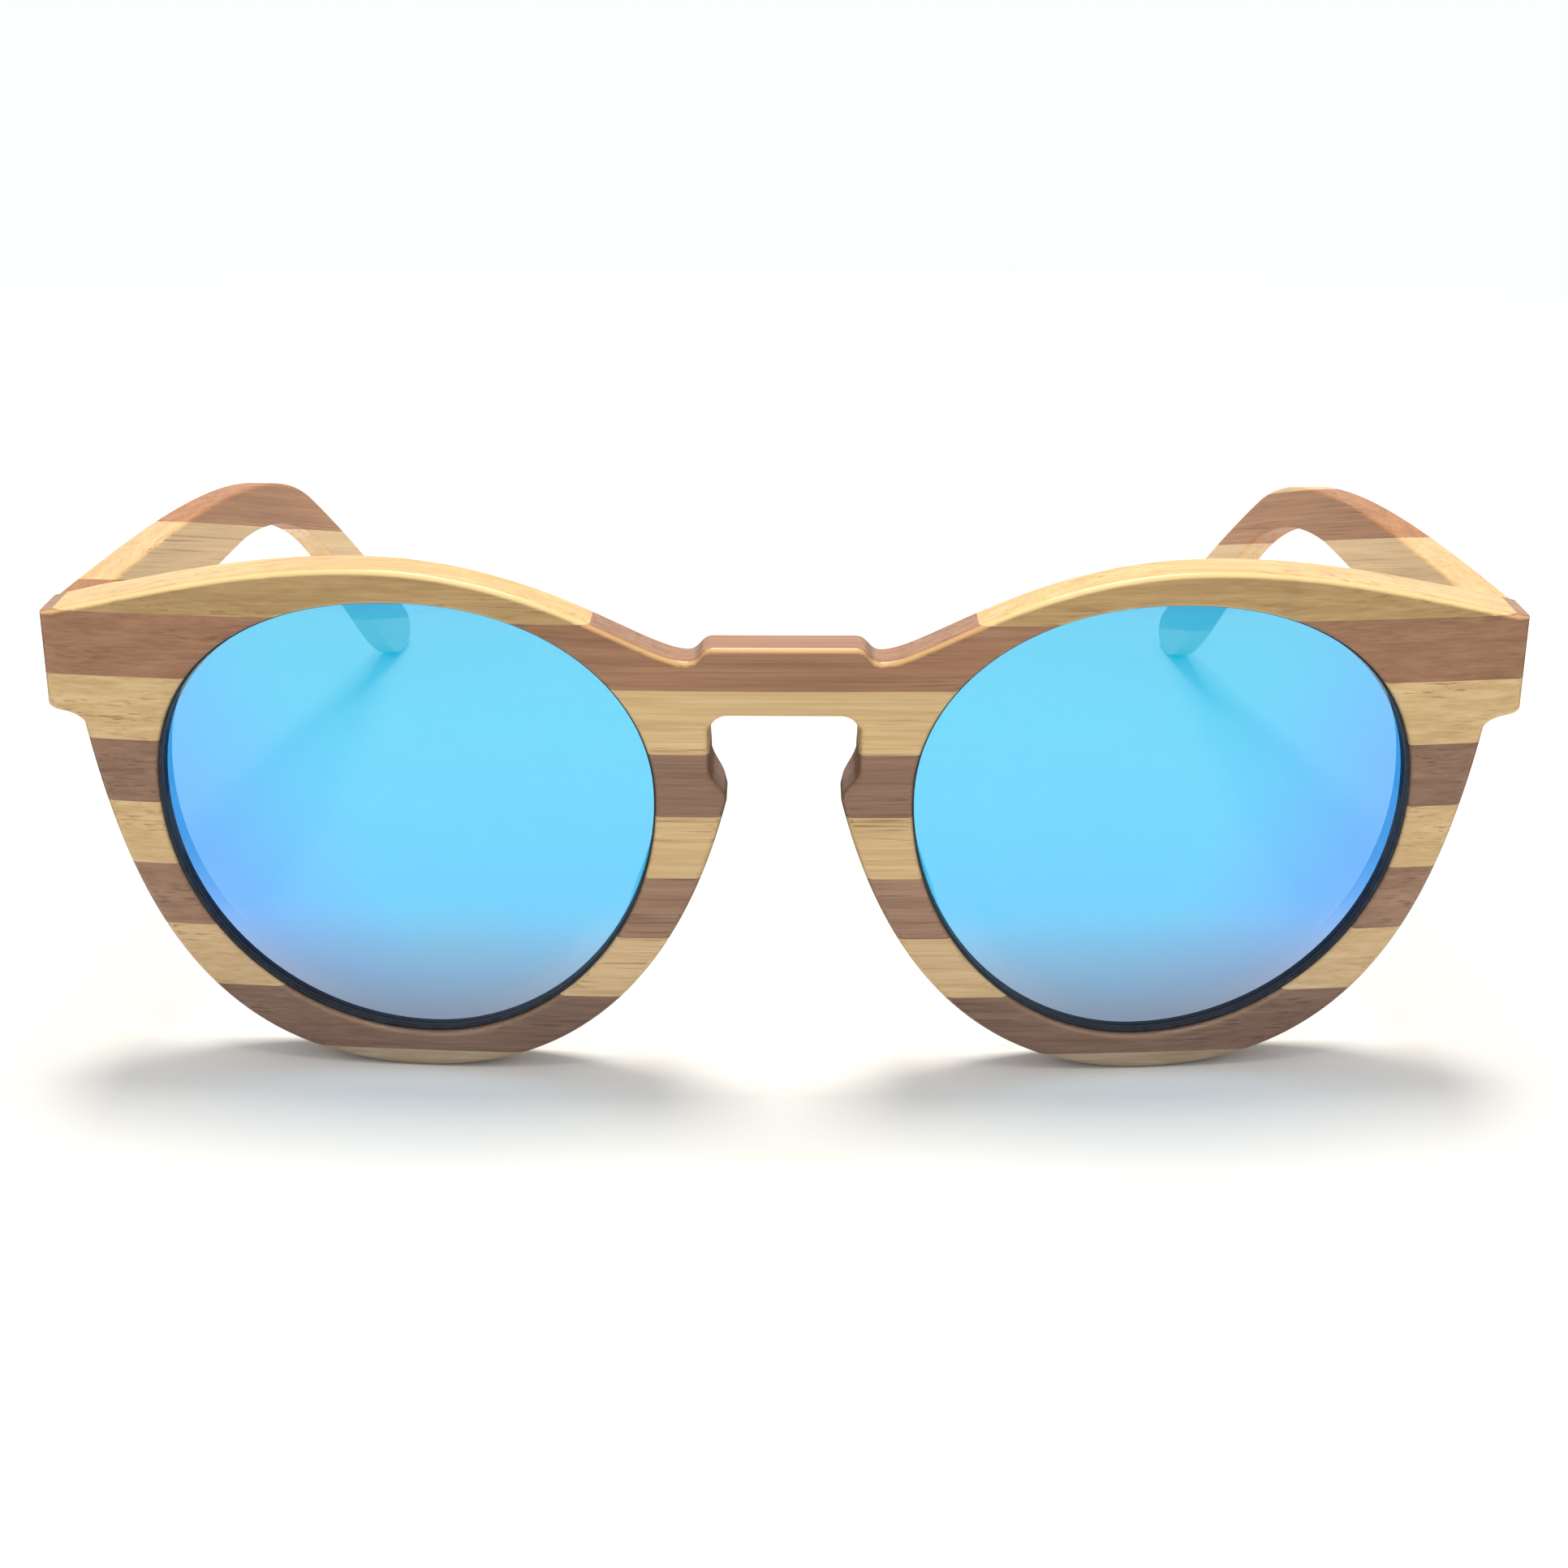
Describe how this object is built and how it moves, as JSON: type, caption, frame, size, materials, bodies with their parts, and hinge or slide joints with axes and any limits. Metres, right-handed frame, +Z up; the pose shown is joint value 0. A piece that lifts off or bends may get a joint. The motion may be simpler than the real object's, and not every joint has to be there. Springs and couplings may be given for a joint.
{
  "type": "folding wooden sunglasses",
  "caption": "Sunglasses with a bowed front glued up from light and dark wood strips, a keyhole bridge, blue mirrored lenses, and temples that fold on small steel hinges.",
  "frame": {"origin": "On the table under the glasses, in the middle of their width and of their depth with the temples open.", "axes": "+Z up; the outer face of the front looks towards -Y; the temples run towards +Y; +X is the wearer's left."},
  "size_m": [0.145, 0.1476, 0.0524],
  "materials": {
    "light_wood": "satin oiled light bamboo with fine lengthwise grain",
    "dark_wood": "satin oiled brown bamboo with fine lengthwise grain",
    "lens_blue": "see-through blue mirror coat",
    "bead_black": "smooth black",
    "hinge_steel": "fine brushed",
    "screw_steel": "bright turned"
  },
  "bodies": {
    "front": {"front_strip_1_light": "light_wood", "front_strip_2_dark": "dark_wood", "front_strip_3_light": "light_wood", "front_strip_4_dark": "dark_wood", "front_strip_5_light": "light_wood", "front_strip_6_dark": "dark_wood", "front_strip_7_light": "light_wood", "front_strip_8_dark": "dark_wood", "front_strip_9_light": "light_wood", "left_lens": "lens_blue", "right_lens": "lens_blue", "left_lens_bead": "bead_black", "right_lens_bead": "bead_black", "left_hinge_front_leaf": "hinge_steel", "right_hinge_front_leaf": "hinge_steel", "left_hinge_screw": "screw_steel", "right_hinge_screw": "screw_steel", "left_front_leaf_screws": "screw_steel", "right_front_leaf_screws": "screw_steel"},
    "left_temple": {"left_temple_strip_1_light": "light_wood", "left_temple_strip_2_dark": "dark_wood", "left_temple_strip_3_light": "light_wood", "left_temple_strip_4_dark": "dark_wood", "left_temple_strip_5_light": "light_wood", "left_hinge_temple_leaf": "hinge_steel", "left_temple_leaf_screws": "screw_steel"},
    "right_temple": {"right_temple_strip_1_light": "light_wood", "right_temple_strip_2_dark": "dark_wood", "right_temple_strip_3_light": "light_wood", "right_temple_strip_4_dark": "dark_wood", "right_hinge_temple_leaf": "hinge_steel", "right_temple_leaf_screws": "screw_steel"}
  },
  "joints": [
    {"name": "left_temple_hinge", "type": "hinge", "parent": "front", "child": "left_temple", "pos_m": [0.06628, -0.06071, 0.0422], "axis": [0, 0, 1], "range_deg": [0, 86]},
    {"name": "right_temple_hinge", "type": "hinge", "parent": "front", "child": "right_temple", "pos_m": [-0.06628, -0.06071, 0.0422], "axis": [0, 0, -1], "range_deg": [0, 82]}
  ]
}
